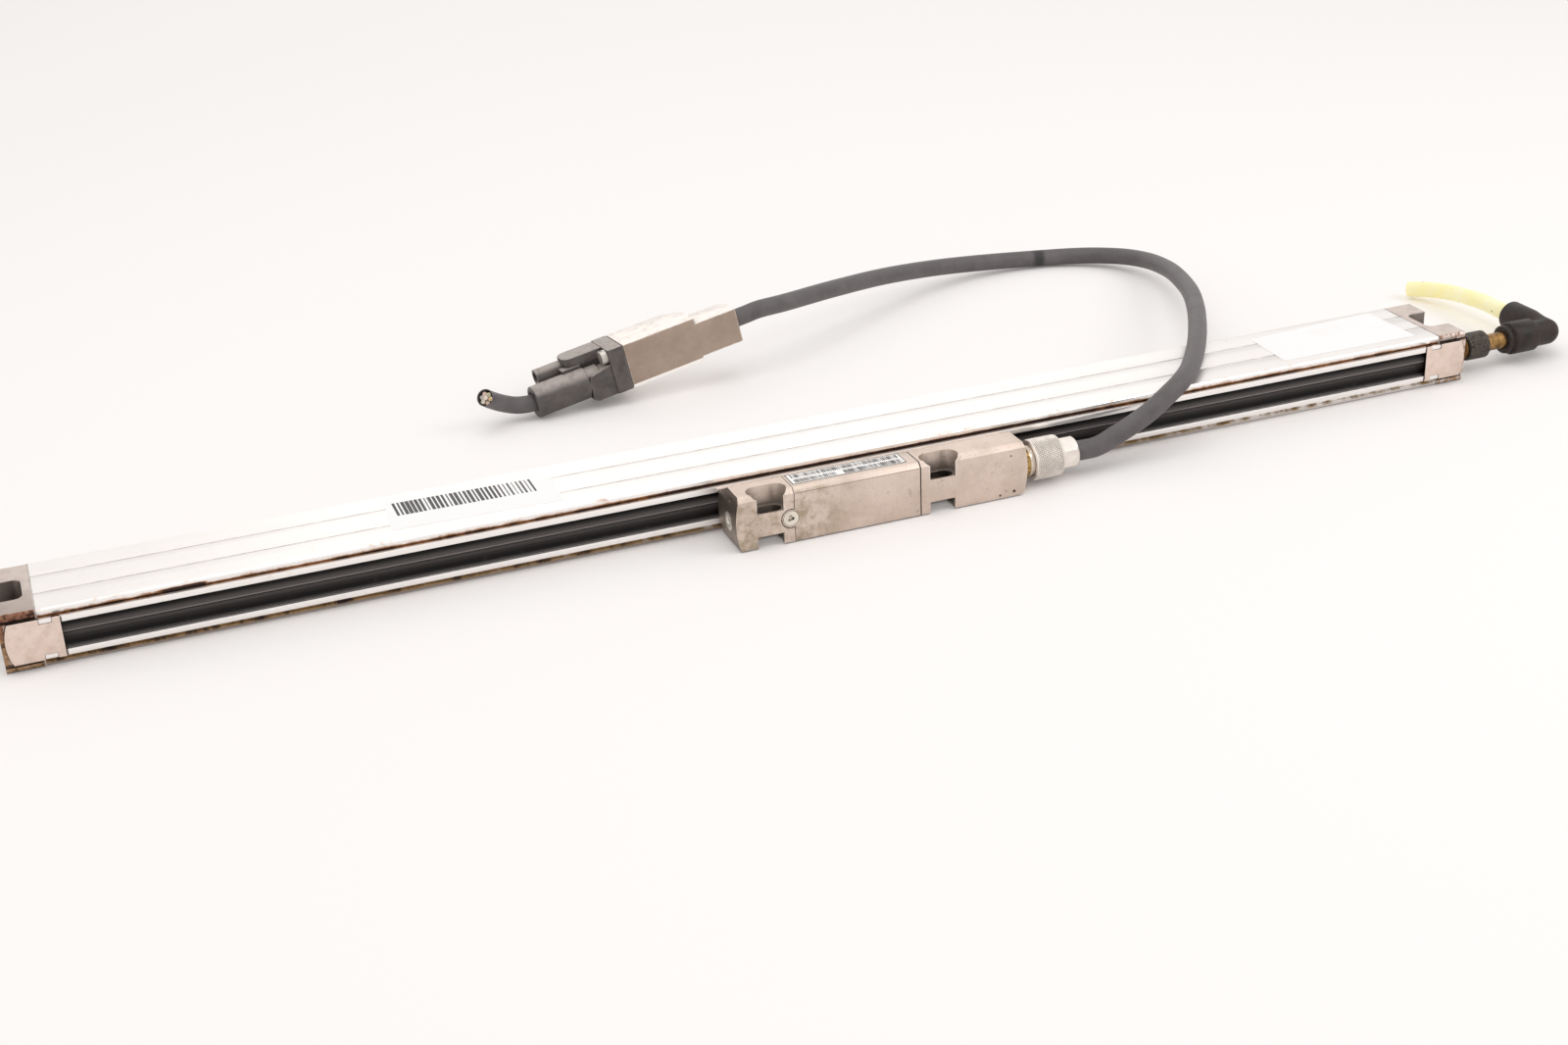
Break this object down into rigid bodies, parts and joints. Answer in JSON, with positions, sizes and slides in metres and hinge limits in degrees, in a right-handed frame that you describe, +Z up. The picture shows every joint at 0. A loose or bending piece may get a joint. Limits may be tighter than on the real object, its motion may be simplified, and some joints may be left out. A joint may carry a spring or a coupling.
{
  "type": "linear glass scale",
  "caption": "Sealed linear encoder: slim aluminium housing with a glass scale inside, sliding scanning head on lipped slit, lead with plug, and compressed-air elbow with hose.",
  "frame": {"origin": "centre of the housing's flat bottom face, midway between the two end blocks", "axes": "+X along the measuring direction towards the air fitting, +Y away from the scanning head, +Z up"},
  "size_m": [0.5387, 0.2028, 0.0275],
  "materials": {
    "profile_aluminium": "satin, bead-blasted",
    "scale_glass": "clear, chrome graduation",
    "soft_bond": "soft elastic",
    "lip_rubber": "smooth glossy",
    "block_nickel": "satin nickel, stained",
    "gasket_rubber": "soft",
    "screw_steel": "nickel plated",
    "brass": "satin",
    "black_metal": "black oxide, knurled",
    "black_plastic": "moulded",
    "hose_plastic": "translucent",
    "head_nickel": "satin nickel, oil stained",
    "plug_brass": "satin",
    "board": "solder resist",
    "white_plastic": "moulded",
    "gold_ring": "gold plated",
    "nut_steel": "nickel plated, knurled",
    "blade_steel": "ground",
    "carriage_metal": "machined",
    "roller_steel": "polished",
    "lead_jacket": "matt polyurethane",
    "plug_nickel": "satin nickel",
    "plug_plastic": "moulded, dusty"
  },
  "bodies": {
    "housing": {"scale_housing": "profile_aluminium", "glass_scale": "scale_glass", "scale_bond": "soft_bond", "upper_lip": "lip_rubber", "lower_lip": "lip_rubber", "end_block_left": "block_nickel", "end_block_right": "block_nickel", "end_gaskets": "gasket_rubber", "front_plate_left": "block_nickel", "front_plate_right": "block_nickel", "end_screws": "screw_steel", "port_plug": "screw_steel", "air_port": "brass", "air_tube": "brass"},
    "head": {"head_block": "head_nickel", "head_cover": "head_nickel", "cover_screw": "screw_steel", "end_plug": "plug_brass", "head_board": "board", "sensor_plug": "white_plastic", "socket_ring": "gold_ring", "socket_pins": "black_plastic", "lead_hood": "nut_steel", "blade": "blade_steel", "coupling_spring": "blade_steel", "carriage_frame": "carriage_metal", "light_source": "white_plastic", "condenser_lens": "scale_glass", "scanning_reticle": "scale_glass", "photo_board": "board", "roller_pins": "screw_steel", "data_lead": "lead_jacket", "plug_shell": "plug_nickel", "plug_body": "plug_plastic", "plug_boot": "plug_plastic", "plug_screws": "screw_steel", "plug_gasket": "gasket_rubber", "lead_stub": "lead_jacket"},
    "coupling_nut": {"coupling_nut": "nut_steel"},
    "union_nut": {"union_nut": "black_metal"},
    "elbow": {"elbow_body": "black_plastic", "air_hose": "hose_plastic"},
    "tube_collar": {"tube_collar": "black_plastic"},
    "hose_collar": {"hose_collar": "brass"},
    "face_roller_left": {"face_roller_left": "roller_steel"},
    "face_roller_right": {"face_roller_right": "roller_steel"},
    "edge_roller_left": {"edge_roller_left": "roller_steel"},
    "edge_roller_right": {"edge_roller_right": "roller_steel"}
  },
  "joints": [
    {"name": "head_slide", "type": "slide", "parent": "housing", "child": "head", "axis": [1, 0, 0], "range_m": [-0.1955, 0.1625]},
    {"name": "coupling_nut_spin", "type": "hinge", "parent": "head", "child": "coupling_nut", "pos_m": [0.0753, -0.0275, 0.008], "axis": [1, 0, 0], "continuous": true},
    {"name": "union_nut_spin", "type": "hinge", "parent": "housing", "child": "union_nut", "pos_m": [0.2563, -0.0098, 0.009], "axis": [1, 0, 0], "continuous": true},
    {"name": "elbow_swivel", "type": "hinge", "parent": "housing", "child": "elbow", "pos_m": [0.2869, -0.0098, 0.009], "axis": [1, 0, 0], "range_deg": [0, 80]},
    {"name": "tube_collar_press", "type": "slide", "parent": "elbow", "child": "tube_collar", "axis": [1, 0, 0], "range_m": [0, 0.0008], "stiffness_N_per_m": 300, "springref_m": -0.001},
    {"name": "hose_collar_press", "type": "slide", "parent": "elbow", "child": "hose_collar", "axis": [0, -1, 0], "range_m": [0, 0.0008], "stiffness_N_per_m": 300, "springref_m": -0.001},
    {"name": "face_roller_left_spin", "type": "hinge", "parent": "head", "child": "face_roller_left", "pos_m": [0.0005, 0.00236, 0.0078], "axis": [0, 0, 1], "continuous": true},
    {"name": "face_roller_right_spin", "type": "hinge", "parent": "head", "child": "face_roller_right", "pos_m": [0.0325, 0.00236, 0.0078], "axis": [0, 0, 1], "continuous": true},
    {"name": "edge_roller_left_spin", "type": "hinge", "parent": "head", "child": "edge_roller_left", "pos_m": [0.0075, 0.006, 0.01254], "axis": [0, 1, 0], "continuous": true},
    {"name": "edge_roller_right_spin", "type": "hinge", "parent": "head", "child": "edge_roller_right", "pos_m": [0.0255, 0.006, 0.01254], "axis": [0, 1, 0], "continuous": true}
  ],
  "couplings": [
    {"joint": "face_roller_left_spin", "follows": "head_slide", "rad_per_m": 384.62},
    {"joint": "face_roller_right_spin", "follows": "head_slide", "rad_per_m": 384.62},
    {"joint": "edge_roller_left_spin", "follows": "head_slide", "rad_per_m": 500},
    {"joint": "edge_roller_right_spin", "follows": "head_slide", "rad_per_m": 500}
  ]
}
